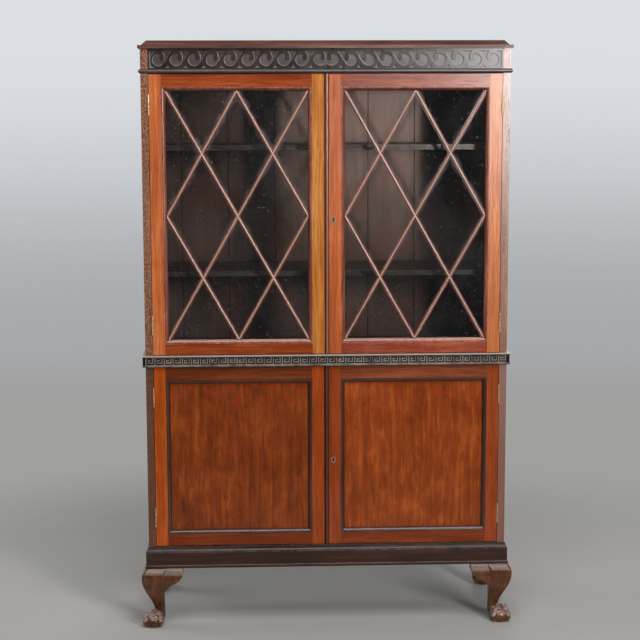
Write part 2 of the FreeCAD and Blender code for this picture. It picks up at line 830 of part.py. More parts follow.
def end_outline(radius, margin, top, bottom):
    # The ground between the end of the field and the band round its first scroll
    outer = radius + scroll_end_band
    upper = ((-0.80 * outer, 0.62 * outer), (-outer, 0.0))
    lower = ((-0.80 * outer, -0.60 * outer), (-0.45 * outer, bottom))
    return [(-margin, bottom), (-margin, top), (-0.42 * outer, top), upper, lower]


def drop_outline(radius, bottom):
    # The small lozenge under the two scrolls that meet at the centre
    half = 0.16 * radius
    height = 0.44 * radius
    return [(0, bottom), (half, bottom + height / 2), (0, bottom + height), (-half, bottom + height / 2)]


def spandrel_outline(radius, pitch, bottom):
    # The small three-cornered pocket between the feet of two scrolls
    middle = 0.55 * pitch
    apex = (middle, bottom + 0.6 * radius)
    left = ((middle - 0.2 * radius, bottom + 0.2 * radius), apex)
    right = ((middle + 0.2 * radius, bottom + 0.2 * radius), (middle + 0.55 * radius, bottom))
    return [(middle - 0.55 * radius, bottom), left, right]


def make_frieze():
    board = box(-inner, inner, front, front + frieze_thickness, frieze_bottom, cornice_bottom)
    low = frieze_bottom + frieze_bead_height + carving_border_bottom
    high = cornice_bottom - carving_border_top
    radius = (high - low - scroll_top_band - scroll_bottom_band) / 2
    middle = low + scroll_bottom_band + radius
    centre_gap = 2 * scroll_reach * radius + scroll_centre_band
    reach = inner - carving_border_side - scroll_end_margin - centre_gap / 2
    steps = max(1, round(reach / (scroll_spacing * radius)))
    pitch = reach / steps
    first = -(inner - carving_border_side - scroll_end_margin)
    top = high - middle
    bottom = low - middle

    def pocket(points, centre):
        place = lambda x, z: V(centre + x, front - overrun, middle + z)
        return prism(points, place, V(0, overrun + carving_depth, 0))

    pockets = [pocket(end_outline(radius, scroll_end_margin, top, bottom), first)]
    for index in range(steps):
        centre = first + index * pitch
        pockets.append(pocket(scroll_outline(radius, pitch, top, 0), centre))
        pockets.append(pocket(spandrel_outline(radius, pitch, bottom), centre))
    pockets.append(pocket(scroll_outline(radius, pitch, top, centre_gap), -centre_gap / 2))
    both = pockets + [mirror_x(each) for each in pockets] + [pocket(drop_outline(radius, bottom), 0)]
    nodes["frieze_board"] = board.cut(both)


def place_left(shape):
    return shape.translated(V(-hinge_edge, front, 0))


def place_right(shape):
    return mirror_x(place_left(shape))


def fit_door(name, place, stiles, rails, moulding, leaves):
    nodes[name + "_stiles"] = place(group(stiles))
    nodes[name + "_rails"] = place(group(rails))
    nodes[name + "_moulding"] = place(group(moulding))
    nodes[name + "_hinge_leaves"] = place(group(leaves))


def make_doors():
    case_leaves = []
    pins = []
    for level, (bottom, top) in door_spans.items():
        meeting = meeting_lines[level]
        seat_end = seat_ends[level]
        reach = hinge_edge - meeting_gap / 2
        rails = rail_heights[level]
        left = Door(reach + meeting, bottom, top, *rails, stile_width)
        right = Door(reach - meeting, bottom, top, *rails, stile_width + meeting_bead_width)
        case, bolt, escutcheon, stile_cut, strike = lock_parts(right)

        stiles, rails = left.frame(seat_end)
        depth = lock_bolt_throw + overrun
        stiles[1] = stiles[1].cut(box(left.width - depth, left.width + overrun, *strike))
        name = level + "_left"
        fit_door(name, place_left, stiles, rails, left.moulding(), left.hinge_leaves())
        plates = []
        for end in ("top", "bottom"):
            plate, slide, socket = bolt_parts(left, end == "top")
            plates.append(plate)
            sockets.append(place_left(socket))
            nodes[name + "_" + end + "_bolt"] = place_left(slide)
        nodes[name + "_bolt_plates"] = place_left(group(plates))

        stiles, rails = right.frame(seat_end)
        stiles[1] = stiles[1].cut(stile_cut)
        name = level + "_right"
        fit_door(name, place_right, stiles, rails, right.moulding(), right.hinge_leaves())
        nodes[name + "_lock_case"] = place_right(case)
        nodes[name + "_lock_bolt"] = place_right(bolt)
        nodes[name + "_escutcheon"] = place_right(escutcheon)
        nodes[name + "_meeting_bead"] = place_right(meeting_bead(right))

        for door, side, place in ((left, "_left", place_left), (right, "_right", place_right)):
            if level == "upper":
                nodes[level + side + "_lattice"] = place(door.lattice())
                glass_back = panel_recess + glass_thickness
                nodes[level + side + "_glass"] = place(door.seat(panel_recess, glass_back, panel_clearance))
                nodes[level + side + "_glazing_beads"] = place(group(door.glazing_beads()))
            else:
                nodes[level + side + "_panel"] = place(door.seat(panel_recess, seat_end, panel_clearance))
            leaf_u = -door_side_gap - hinge_leaf_thickness
            case_leaves += [place(hinge_leaf(low, leaf_u, 0)) for low in door.lows]
            pins += [place(hinge_pin(low)) for low in door.lows]
    nodes["case_hinge_leaves"] = group(case_leaves)
    nodes["hinge_pins"] = group(pins)


def meeting_bead(door):
    edge = door.width
    half = meeting_bead_width / 2
    points = [(edge - meeting_bead_width, 0), ((edge - half, -meeting_bead_projection), (edge, 0))]
    return prism(points, lambda u, v: V(u, v, door.bottom), V(0, 0, door.top - door.bottom))


door_spans = {"upper": (middle_top + door_end_gap, frieze_bottom - door_end_gap),
              "lower": (lower_floor + door_end_gap, middle_bottom - door_end_gap)}
meeting_lines = {"upper": upper_meeting_x, "lower": lower_meeting_x}
rail_heights = {"upper": (upper_top_rail_height, upper_bottom_rail_height),
                "lower": (lower_top_rail_height, lower_bottom_rail_height)}
seat_ends = {"upper": door_thickness + overrun, "lower": panel_recess + panel_thickness}
shelf_front = front + shelf_front_setback
shelf_back = back_face - shelf_back_clearance
shelf_levels = {"shelf_upper": middle_top + upper_shelf_height - shelf_thickness,
                "shelf_lower": middle_top + lower_shelf_height - shelf_thickness,
                "cupboard_shelf": lower_floor + cupboard_shelf_height - shelf_thickness}
sockets = []

make_doors()
make_carcase()
make_frieze()
make_mouldings()
make_cornice()
make_legs()
make_shelves()

os.makedirs("parts", exist_ok=True)
for name, shape in sorted(nodes.items()):
    solids = shape.Solids
    good = shape.isValid() and all(solid.Volume > 0 for solid in solids)
    print(name, "solids", len(solids), "volume", round(shape.Volume), "" if good else "NOT GOOD")
    shape.exportStep("parts/" + name + ".step")
print("nodes", len(nodes))
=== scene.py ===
import math

import bmesh
import bpy
from mathutils import Matrix, Vector


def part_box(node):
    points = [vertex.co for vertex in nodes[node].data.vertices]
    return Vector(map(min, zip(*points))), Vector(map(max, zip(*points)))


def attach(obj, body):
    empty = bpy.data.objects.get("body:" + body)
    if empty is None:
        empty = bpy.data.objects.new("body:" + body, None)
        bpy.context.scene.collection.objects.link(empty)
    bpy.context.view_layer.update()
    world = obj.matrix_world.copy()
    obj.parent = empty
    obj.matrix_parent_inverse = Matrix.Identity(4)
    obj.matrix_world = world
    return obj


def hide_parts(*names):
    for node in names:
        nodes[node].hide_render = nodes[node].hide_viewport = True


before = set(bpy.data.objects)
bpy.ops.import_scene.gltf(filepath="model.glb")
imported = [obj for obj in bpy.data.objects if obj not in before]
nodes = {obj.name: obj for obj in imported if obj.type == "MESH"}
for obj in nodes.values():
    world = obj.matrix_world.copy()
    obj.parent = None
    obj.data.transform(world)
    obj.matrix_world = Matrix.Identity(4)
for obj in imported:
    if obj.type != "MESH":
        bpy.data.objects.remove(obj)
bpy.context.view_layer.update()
print("frame:", len(nodes), "nodes")


def tone(red, green, blue):  # screen colour, 0 to 255, to linear light
    def bend(part):
        part = part / 255
        return part / 12.92 if part < 0.04045 else ((part + 0.055) / 1.055) ** 2.4
    return (bend(red), bend(green), bend(blue), 1.0)


def shades(dark, mid, light):  # the three tones of a board
    return {"dark": tone(*dark), "mid": tone(*mid), "light": tone(*light)}


def otherShades(dark, mid, light):  # those of the board past a split
    return {"otherDark": tone(*dark), "otherMid": tone(*mid), "otherLight": tone(*light)}


class Wire:  # a socket that takes Python operators
    def __init__(self, finish, socket):
        self.finish = finish
        self.socket = socket

    def join(self, operation, other=0.0, swapped=False):
        first, second = (other, self) if swapped else (self, other)
        kind = "Math"
        if self.socket.type in ("VECTOR", "RGBA"):  # a plain number goes to all three parts
            kind = "VectorMath"
            first, second = ((v, v, v) if isinstance(v, (int, float)) else v for v in (first, second))
        return self.finish.node(kind, {"operation": operation}, {0: first, 1: second})

    def __add__(self, other):
        return self.join("ADD", other)

    def __radd__(self, other):
        return self.join("ADD", other, True)

    def __sub__(self, other):
        return self.join("SUBTRACT", other)

    def __rsub__(self, other):
        return self.join("SUBTRACT", other, True)

    def __mul__(self, other):
        return self.join("MULTIPLY", other)

    def __rmul__(self, other):
        return self.join("MULTIPLY", other, True)

    def __truediv__(self, other):
        return self.join("DIVIDE", other)

    def __rtruediv__(self, other):
        return self.join("DIVIDE", other, True)

    def __abs__(self):
        return self.join("ABSOLUTE")


class Finish:  # a material, or the world, that grows node by node
    cornerCut = (0.01, 0.16)  # how far the normal turns at an edge that counts as sharp

    def __init__(self, name, kind="Material"):
        self.kind = kind
        self.material = (bpy.data.worlds if kind == "World" else bpy.data.materials).new(name)
        self.material.use_nodes = True
        self.tree = self.material.node_tree
        self.tree.nodes.clear()

    def node(self, kind, settings, sockets, output=0):
        made = self.tree.nodes.new("ShaderNode" + kind)
        for key, value in settings.items():
            if key == "stops":
                ramp = made.color_ramp.elements
                while len(ramp) < len(value):
                    ramp.new(1.0)
                for stop, (place, colour) in zip(ramp, value):
                    stop.position = place
                    stop.color = colour
            else:
                setattr(made, key, value)
        for key, value in sockets.items():
            if isinstance(value, Wire):
                self.tree.links.new(value.socket, made.inputs[key])
            else:
                made.inputs[key].default_value = value
        return Wire(self, made.outputs[output])

    def place(self):
        return self.node("TexCoord", {}, {}, "Object")

    def axis(self, name):
        return self.node("SeparateXYZ", {}, {0: self.place()}, name)

    def normal(self):
        return self.node("NewGeometry", {}, {}, "Normal")

    def facing(self):  # 1 on what faces up, -1 on what faces down
        return self.node("SeparateXYZ", {}, {0: self.normal()}, "Z")

    def wrap(self, value, half):  # repeats from -half to half
        return self.node("Math", {"operation": "WRAP"}, {0: value, 1: half, 2: -half})

    def larger(self, first, second):
        return self.node("Math", {"operation": "MAXIMUM"}, {0: first, 1: second})

    def grain(self, place, scale, detail=3.0, rough=0.55, bend=0.0):
        return self.node("TexNoise", {}, {"Vector": place, "Scale": scale, "Detail": detail,
                                          "Roughness": rough, "Distortion": bend})

    def step(self, value, low, high):
        return self.node("MapRange", {"interpolation_type": "SMOOTHSTEP"}, {0: value, 1: low, 2: high})

    def blend(self, mask, first, second):
        return self.node("Mix", {"data_type": "RGBA"}, {0: mask, 6: first, 7: second}, 2)

    def ramp(self, value, places, *tones):
        return self.node("ValToRGB", {"stops": list(zip(places, tones))}, {0: value})

    def corners(self, radius):  # 1 along sharp edges, 0 on flats
        rounded = self.node("Bevel", {"samples": 4}, {"Radius": radius})
        same = self.node("VectorMath", {"operation": "DOT_PRODUCT"}, {0: self.normal(), 1: rounded}, "Value")
        return self.step(1 - same, *self.cornerCut)

    def crevice(self, reach, low, high):  # 1 in corners and grooves, 0 in the open
        clear = self.node("AmbientOcclusion", {"samples": 6}, {"Distance": reach}, "AO")
        return self.step(1 - clear, low, high)

    def bump(self, height, depth, over=None):
        under = {"Normal": over} if over else {}
        return self.node("Bump", {}, {"Height": height, "Distance": depth, "Strength": 1.0, **under})

    def wear(self, surface):
        out = self.tree.nodes.new("ShaderNodeOutput" + self.kind)
        self.tree.links.new(surface.socket, out.inputs["Surface"])
        return self.material

    def done(self, sockets):
        return self.wear(self.node("BsdfPrincipled", {}, sockets))


# What all polished boards share: lengths in metres, and a cut for where a mask starts and where it is full
woodBase = {
    "along": "z", "splitOn": "X", "splitSoft": 0.001, "drift": 0.02, "driftScale": 5.0,
    "band": 1.5, "bandScale": 55.0, "bandStretch": 0.05,
    "streak": 1.0, "streakScale": 260.0, "streakStretch": 0.02,
    "mottle": 0.5, "mottleScale": 16.0, "mottleStretch": 0.3, "wash": 0.5, "washScale": 2.6,
    "toneStops": (0.1, 0.5, 0.9), "pores": 0.45, "poreTone": tone(58, 22, 8),
    "poreScale": 900.0, "poreStretch": 0.03, "poreCut": (0.56, 0.7),
    "blushCut": (0.48, 0.62), "blushLeast": 0.25, "seam": 0.8, "seamCut": (0.0005, 0.0014),
    "speckleCut": (0.46, 0.62), "speckleStretch": 0.35, "edgeSoft": 0.004, "stageSoft": 0.01,
    "facingCut": (0.1, 0.6), "waxAndShadeCut": (0.15, 0.7), "wearScale": 60.0, "wearCut": (0.36, 0.6),
    "rough": 0.27, "washRough": 0.16, "streakRough": 0.12, "poreRough": 0.1, "shine": 0.3,
    "bump": 0.00014, "streakBump": 0.3, "poreBump": 0.7, "ripple": 0.6,
}


def polishedWood(name, look):
    finish = Finish(name)
    place = finish.place()
    run = "xyz".index(look["along"])
    stretch = lambda share: tuple(share if index == run else 1.0 for index in range(3))
    drift = finish.node("TexNoise", {}, {"Vector": place, "Scale": look["driftScale"], "Detail": 2.0}, 1)
    bent = place + (drift - 0.5) * look["drift"]
    bands = bent * stretch(look["bandStretch"])
    bands = finish.grain(bands, look["bandScale"], detail=5.0, rough=0.62, bend=0.4)
    streaks = bent * stretch(look["streakStretch"])
    streaks = finish.grain(streaks, look["streakScale"], rough=0.6)
    mottle = bent * stretch(look["mottleStretch"])
    mottle = finish.grain(mottle, look["mottleScale"], detail=4.0, rough=0.6, bend=0.8)
    wash = finish.grain(place, look["washScale"], detail=2.0)
    figure = (bands - 0.5) * look["band"] + (streaks - 0.5) * look["streak"]
    figure = figure + (mottle - 0.5) * look["mottle"] + (wash - 0.5) * look["wash"]
    if "boards" in look:  # each board a little lighter or darker than its neighbours
        number = finish.node("Math", {"operation": "FLOOR"}, {0: finish.axis("X") / look["boards"]})
        chance = finish.node("TexWhiteNoise", {"noise_dimensions": "1D"}, {"W": number}, "Value")
        figure = figure + (chance - 0.5) * look["boardShift"]
    figure = figure + 0.5
    colour = finish.ramp(figure, look["toneStops"], look["dark"], look["mid"], look["light"])
    if "split" in look:  # the piece past this plane is cut from another board; on the rails, split by height, the two tones are painted light and shade
        others = look["otherDark"], look["otherMid"], look["otherLight"]
        other = finish.ramp(figure, look["toneStops"], *others)
        past = finish.step(finish.axis(look["splitOn"]), look["split"] - look["splitSoft"],
                           look["split"] + look["splitSoft"])
        colour = finish.blend(past, colour, other)
    if "blush" in look:  # redder blotches, most of them towards one end
        blotch = finish.step(finish.grain(place, look["blushScale"], rough=0.6), *look["blushCut"])
        end = finish.step(finish.axis("Z"), *look["blushRise"])
        share = look["blushLeast"] + (1 - look["blushLeast"]) * end
        colour = finish.blend(blotch * share * look["blush"], colour, look["blushTone"])
    pores = finish.grain(place * stretch(look["poreStretch"]), look["poreScale"], detail=2.0, rough=0.5)
    pores = finish.step(pores, *look["poreCut"])
    colour = finish.blend(pores * look["pores"], colour, look["poreTone"])
    if "boards" in look:  # the line where two boards meet
        aside = abs(finish.wrap(finish.axis("X"), look["boards"] / 2))
        line = look["seam"] - look["seam"] * finish.step(aside, *look["seamCut"])
        colour = finish.blend(line, colour, look["poreTone"])
    if "speckle" in look:  # open grain filled with pale dust on the front edge, less of it on the lower stage
        flecks = place * stretch(look["speckleStretch"])
        flecks = finish.grain(flecks, look["speckleScale"], detail=2.0, rough=0.6)
        edge, stage = look["speckleTo"], look["speckleFrom"]
        behind = finish.step(finish.axis("Y"), edge, edge + look["edgeSoft"])
        below = 1 - finish.step(finish.axis("Z"), stage, stage + look["stageSoft"])
        flecks = finish.step(flecks, *look["speckleCut"]) * (1 - behind) * (1 - look["lowFlecks"] * below)
        colour = finish.blend(below * look["lowDark"], colour, look["dark"])
        colour = finish.blend(flecks * look["speckle"], colour, look["speckleTone"])
    if "crest" in look:  # a painted highlight along the front of a bead or bar
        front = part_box(look["crest"])[0].y + look["crestDepth"]
        crest = finish.step(front - finish.axis("Y"), 0.0, look["crestDepth"])
        colour = finish.blend(crest * look["crestHighlightShare"], colour, look["crestHighlightTone"])
    if "dustAndFacingLight" in look:  # pale dust and painted light on what faces up, painted shade on what faces down
        facing = finish.facing()
        up = finish.step(facing, *look["facingCut"])
        down = finish.step(0 - facing, *look["facingCut"])
        colour = finish.blend(up * look["dustAndFacingLight"], colour, look["dustAndLightTone"])
        colour = finish.blend(down * look["dustAndFacingLight"], colour, look["dark"])
    if "waxAndShade" in look:  # dark wax and painted shade in the corners
        waxAndShadeMask = finish.crevice(look["waxAndShadeReach"], *look["waxAndShadeCut"])
        colour = finish.blend(waxAndShadeMask * look["waxAndShade"], colour, look["poreTone"])
    if "wear" in look:  # rubbed edges, with a painted highlight along them as well
        patchy = finish.step(finish.grain(place, look["wearScale"]), *look["wearCut"])
        rubbedAndLit = finish.corners(look["wearWidth"]) * patchy
        colour = finish.blend(rubbedAndLit * look["wear"], colour, look["wearHighlightTone"])
    rough = look["rough"] + look["washRough"] * (wash - 0.5) + look["streakRough"] * (streaks - 0.5)
    rough = rough + look["poreRough"] * pores
    if "speckle" in look:  # the polish has dulled behind the front edge and low down
        rough = rough + look["sideDull"] * behind + look["lowDull"] * below
    height = streaks * look["streakBump"] - pores * look["poreBump"] + wash * look["ripple"]
    return finish.done({"Base Color": colour, "Roughness": rough, "Normal": finish.bump(height, look["bump"]),
                        "Specular IOR Level": look["shine"]})


def paint(finish, *names):
    for name in names:
        mesh = nodes[name].data
        mesh.materials.clear()
        mesh.materials.append(finish)


# Door frames: upright stiles, level rails, and the darker tone of the cupboard below
upperLeftStileLook = {**woodBase, **shades((156, 74, 34), (188, 99, 50), (212, 128, 74)), "split": -0.25,
                      **otherShades((150, 82, 26), (182, 110, 44), (204, 138, 70))}
upperRightStileLook = {**woodBase, **shades((154, 70, 27), (187, 94, 39), (211, 123, 61)), "split": 0.25,
                       **otherShades((164, 86, 40), (197, 112, 58), (221, 141, 84)), "rough": 0.25}
upperLeftRailLook = {**woodBase, "along": "x", **shades((104, 37, 10), (138, 57, 20), (168, 80, 37))}
# the top rail of the upper right door is paler: painted light
upperRightRailLook = {**woodBase, "along": "x", **shades((104, 31, 2), (136, 47, 6), (164, 69, 22)),
                      "splitOn": "Z", "split": 1.26, "rough": 0.25,
                      **otherShades((104, 42, 20), (136, 61, 33), (164, 84, 50))}
lowerLeftStileLook = {**woodBase, **shades((138, 54, 10), (166, 73, 18), (190, 92, 32)), "split": -0.25,
                      **otherShades((128, 50, 11), (155, 66, 20), (178, 86, 33))}
lowerRightStileLook = {**woodBase, **shades((116, 46, 14), (143, 62, 25), (166, 80, 38))}
# the top rails of the lower doors take other tones: painted shade on the left door, painted light on the
# right door
lowerLeftRailLook = {**woodBase, "along": "x", **shades((88, 31, 7), (117, 47, 12), (145, 63, 22)),
                     "splitOn": "Z", "split": 0.53,
                     **otherShades((74, 28, 8), (100, 43, 14), (126, 58, 24))}
lowerRightRailLook = {**lowerLeftRailLook, **otherShades((94, 40, 18), (124, 59, 31), (150, 77, 44))}
paint(polishedWood("upperLeftStileWood", upperLeftStileLook), "upper_left_stiles")
paint(polishedWood("upperRightStileWood", upperRightStileLook), "upper_right_stiles")
paint(polishedWood("upperLeftRailWood", upperLeftRailLook), "upper_left_rails")
paint(polishedWood("upperRightRailWood", upperRightRailLook), "upper_right_rails")
paint(polishedWood("lowerLeftStileWood", lowerLeftStileLook), "lower_left_stiles")
paint(polishedWood("lowerRightStileWood", lowerRightStileLook), "lower_right_stiles")
paint(polishedWood("lowerLeftRailWood", lowerLeftRailLook), "lower_left_rails")
paint(polishedWood("lowerRightRailWood", lowerRightRailLook), "lower_right_rails")
print("door frames done")

# Cupboard panels, mottled veneer with the grain upright
leftPanelLook = {**woodBase, **shades((84, 34, 9), (122, 54, 16), (166, 80, 28)), "drift": 0.012,
                 "band": 0.95, "bandScale": 70.0, "streak": 0.5, "wash": 0.6, "washScale": 9.0,
                 "mottle": 0.8, "mottleScale": 44.0, "mottleStretch": 0.35, "waxAndShade": 0.55, "waxAndShadeReach": 0.03,
                 "blush": 0.75, "blushScale": 38.0, "blushTone": tone(150, 52, 20), "blushRise": (0.62, 0.78)}
rightPanelLook = {**leftPanelLook, **shades((94, 38, 9), (136, 60, 17), (180, 88, 30))}
paint(polishedWood("leftPanelVeneer", leftPanelLook), "lower_left_panel")
paint(polishedWood("rightPanelVeneer", rightPanelLook), "lower_right_panel")
print("panels done")

# Mouldings, glazing bars and meeting beads
upperMouldLook = {**woodBase, **shades((84, 36, 22), (124, 66, 50), (166, 104, 86)), "rough": 0.24,
                  "waxAndShade": 0.7, "waxAndShadeReach": 0.008, "wear": 1.0, "wearWidth": 0.002,
                  "wearHighlightTone": tone(214, 182, 172), "dustAndFacingLight": 0.45, "dustAndLightTone": tone(206, 160, 144)}
lowerMouldLook = {**woodBase, **shades((40, 18, 9), (62, 29, 15), (90, 45, 27)), "rough": 0.3, "shine": 0.9,
                  "waxAndShade": 0.4, "waxAndShadeReach": 0.01, "wear": 0.3, "wearWidth": 0.0015,
                  "wearHighlightTone": tone(140, 110, 102)}
barLook = {**upperMouldLook, **shades((76, 38, 28), (112, 63, 49), (146, 92, 76)),
           "dustAndFacingLight": 0.15, "wear": 0.15, "crest": "upper_left_lattice", "crestDepth": 0.0012,
           "crestHighlightShare": 0.8, "crestHighlightTone": tone(188, 154, 142)}
upperBeadLook = {**woodBase, **shades((62, 30, 20), (98, 50, 34), (134, 76, 56)), "rough": 0.22,
                 "waxAndShade": 0.7, "waxAndShadeReach": 0.008, "crest": "upper_right_meeting_bead",
                 "crestDepth": 0.0012, "crestHighlightShare": 0.6, "crestHighlightTone": tone(156, 112, 96)}
lowerBeadLook = {**upperBeadLook, **shades((40, 20, 13), (60, 31, 21), (84, 46, 33)),
                 "crestHighlightTone": tone(92, 64, 55)}
paint(polishedWood("upperMouldWood", upperMouldLook), "upper_left_moulding", "upper_right_moulding",
      "upper_left_glazing_beads", "upper_right_glazing_beads")
paint(polishedWood("lowerMouldWood", lowerMouldLook), "lower_left_moulding", "lower_right_moulding")
paint(polishedWood("glazingBarWood", barLook), "upper_left_lattice", "upper_right_lattice")
paint(polishedWood("upperBeadWood", upperBeadLook), "upper_right_meeting_bead")
paint(polishedWood("lowerBeadWood", lowerBeadLook), "lower_right_meeting_bead")
print("mouldings done")

# Carcase: sides, cornice, plinth and the inside boards
leftSideLook = {**woodBase, **shades((76, 38, 17), (106, 62, 40), (140, 88, 60)), "pores": 0.7,
                "speckle": 0.7, "speckleScale": 420.0, "speckleTone": tone(186, 142, 114),
                "speckleTo": -0.194, "speckleFrom": 0.82, "lowFlecks": 0.75, "lowDark": 0.8,
                "sideDull": 0.3, "lowDull": 0.2, "rough": 0.28, "shine": 0.5}
rightSideLook = {**leftSideLook, **shades((106, 52, 24), (130, 80, 58), (160, 104, 78)), "speckle": 0.3}
corniceLook = {**woodBase, "along": "x", **shades((58, 35, 28), (87, 55, 45), (120, 80, 66)), "rough": 0.36,
               "shine": 0.15, "wear": 0.25, "wearWidth": 0.003, "wearHighlightTone": tone(134, 92, 76)}
plinthLook = {**woodBase, "along": "x", **shades((38, 22, 16), (54, 33, 24), (74, 48, 37)), "rough": 0.22,
              "poreTone": tone(22, 13, 9), "wear": 0.85, "wearWidth": 0.002, "wearHighlightTone": tone(146, 124, 114)}
capLook = {**plinthLook, **shades((36, 25, 22), (52, 39, 35), (74, 58, 53))}
friezeBeadLook = {**capLook, "mid": tone(52, 38, 37), "shine": 0.5, "rough": 0.4}
backLook = {**woodBase, **shades((72, 50, 43), (94, 70, 62), (116, 91, 82)), "band": 0.7, "streak": 0.5,
            "rough": 0.5, "shine": 0.2, "poreTone": tone(46, 32, 26), "waxAndShade": 0.5, "waxAndShadeReach": 0.06,
            "boards": 0.149, "boardShift": 0.3, "blush": 0.5, "blushScale": 9.0,
            "blushTone": tone(112, 62, 46), "blushRise": (1.5, 1.25)}
shelfLook = {**woodBase, "along": "x", **shades((44, 32, 27), (63, 48, 41), (86, 69, 61)), "rough": 0.42,
             "poreTone": tone(34, 24, 19), "wear": 0.5, "wearWidth": 0.002, "wearHighlightTone": tone(140, 122, 110)}
paint(polishedWood("leftSideWood", leftSideLook), "side_left")
paint(polishedWood("rightSideWood", rightSideLook), "side_right")
paint(polishedWood("corniceWood", corniceLook), "cornice")
paint(polishedWood("plinthWood", plinthLook), "plinth_boards")
paint(polishedWood("capWood", capLook), "plinth_cap")
paint(polishedWood("friezeBeadWood", friezeBeadLook), "frieze_bead")
paint(polishedWood("backWood", backLook), "back_boards")
paint(polishedWood("shelfWood", shelfLook), "shelf_upper", "shelf_lower", "cupboard_shelf", "shelf_battens",
      "carcase_top", "middle_board", "bottom_board")
print("carcase done")

# Carved bands: standing ornament, sunk ground, and a painted rim where the ground meets the carving (painted
# highlight on the frieze, painted shade in the key band)
carvingBase = {"dustScale": 35.0, "speckScale": 420.0, "dustCut": (0.3, 0.7), "groundCut": (0.35, 0.65),
               "wornCut": (0.2, 0.6), "sunkRough": 0.06, "dustRough": 0.16, "bump": 0.00008}


def carvedWood(name, look, depth, touches):
    finish = Finish(name)
    place = finish.place()
    dust = finish.grain(place, look["dustScale"], detail=4.0)
    speck = finish.grain(place, look["speckScale"])
    sunk = depth(finish)
    colour = finish.blend(finish.step(dust, *look["dustCut"]), look["raised"], look["raisedLight"])
    fleck = finish.step(speck * 0.5 + dust * 0.5, *look["groundCut"])
    colour = finish.blend(sunk, colour, finish.blend(fleck, look["ground"], look["groundLight"]))
    for mask, touchTone in touches(finish, sunk):
        colour = finish.blend(mask, colour, touchTone)
    # painted rim at the foot of the carved walls: a pale painted highlight on the frieze, painted shade in
    # the key band
    paintedRim = finish.crevice(look["nookReach"], *look["nookCut"]) * sunk
    colour = finish.blend(paintedRim * look["paintedRim"], colour, look["paintedRimTone"])
    # rubbed edges of the raised carving, paler also as a painted highlight along them
    wornAndLit = finish.corners(look["edge"]) * finish.step(dust, *look["wornCut"]) * (1 - sunk)
    colour = finish.blend(wornAndLit * look["wear"], colour, look["wearHighlightTone"])
    rough = look["rough"] + look["sunkRough"] * sunk + look["dustRough"] * (dust - 0.5)
    rounded = finish.node("Bevel", {"samples": 6}, {"Radius": look["round"]})
    return finish.done({"Base Color": colour, "Roughness": rough, "Specular IOR Level": look["shine"],
                        "Normal": finish.bump(speck, look["bump"], rounded)})


friezeLook = {**carvingBase, "raised": tone(34, 26, 25), "raisedLight": tone(52, 42, 40),
              "ground": tone(62, 52, 49), "groundLight": tone(84, 72, 68), "rough": 0.23, "shine": 0.3,
              "paintedRim": 0.8, "paintedRimTone": tone(150, 138, 133), "nookReach": 0.0026, "nookCut": (0.14, 0.36),
              "edge": 0.0012, "wear": 0.25, "wearHighlightTone": tone(120, 108, 104), "round": 0.0016,
              "face": -0.195, "sinkCut": (0.0018, 0.0027),
              "firstScroll": 0.492, "pitch": 0.05243, "scrollRadius": 0.0176, "scrollRise": 0.0391,
              "corner": 0.85, "cornerTone": tone(46, 39, 37), "cornerSpread": 1.12, "cornerSoft": 0.004,
              "ledge": 0.6, "ledgeTone": tone(104, 100, 93), "ledgeCut": (1.706, 1.698)}
# The key band's near-black ground is painted shade in its channels, and its pale worn edges are partly a
# painted highlight
keyLook = {**carvingBase, "raised": tone(88, 78, 72), "raisedLight": tone(138, 125, 116),
           "ground": tone(10, 7, 6), "groundLight": tone(18, 14, 12), "rough": 0.4, "shine": 0.2,
           "paintedRim": 0.3, "paintedRimTone": tone(12, 9, 8), "nookReach": 0.003, "nookCut": (0.1, 0.5),
           "edge": 0.0007, "wear": 0.7, "wearHighlightTone": tone(168, 156, 148), "round": 0.0007,
           "sinkCut": (0.00075, 0.00135), "line": 0.8, "ledgeTone": tone(186, 172, 162),
           "paintedShadeTone": tone(22, 17, 16), "ledgeCut": (0.0045, 0.002), "grooveCut": (0.0085, 0.007),
           "footCut": (0.001, 0.0028)}


def friezeDepth(finish):
    return finish.step(finish.axis("Y") - friezeLook["face"], *friezeLook["sinkCut"])


def keyDepth(finish):
    low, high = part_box("key_band")
    nearest = finish.larger(abs(finish.axis("X")) - high.x, low.y - finish.axis("Y"))
    return finish.step(0 - nearest, *keyLook["sinkCut"])


def friezeTouches(finish, sunk):  # painted shade in the corners between the scrolls, dust at the foot of the field
    look = friezeLook
    across = finish.wrap(look["firstScroll"] - abs(finish.axis("X")), look["pitch"] / 2)
    rise = finish.axis("Z") - (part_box("frieze_board")[0].z + look["scrollRise"])
    away = finish.node("Math", {"operation": "SQRT"}, {0: across * across + rise * rise})
    corner = finish.step(away, look["scrollRadius"], look["cornerSpread"] * look["scrollRadius"])
    corner = corner * finish.step(rise, -look["cornerSoft"], look["cornerSoft"])
    dust = finish.step(finish.axis("Z"), *look["ledgeCut"])
    return [(corner * sunk * look["corner"], look["cornerTone"]),
            (dust * sunk * look["ledge"], look["ledgeTone"])]


def keyTouches(finish, sunk):  # a painted highlight along the top edge, a painted shade line under it and a painted shadow at the foot
    low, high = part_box("key_band")
    height = finish.axis("Z")
    ledge = finish.step(height, *[high.z - drop for drop in keyLook["ledgeCut"]])
    grooveShade = finish.step(height, *[high.z - drop for drop in keyLook["grooveCut"]]) - ledge
    foot = 1 - finish.step(height, *[low.z + lift for lift in keyLook["footCut"]])
    lines = ((grooveShade, "paintedShadeTone"), (ledge, "ledgeTone"), (foot, "paintedShadeTone"))
    return [(mask * keyLook["line"], keyLook[touchTone]) for mask, touchTone in lines]


paint(carvedWood("friezeCarving", friezeLook, friezeDepth, friezeTouches), "frieze_board")
paint(carvedWood("keyCarving", keyLook, keyDepth, keyTouches), "key_band")
print("carved bands done")

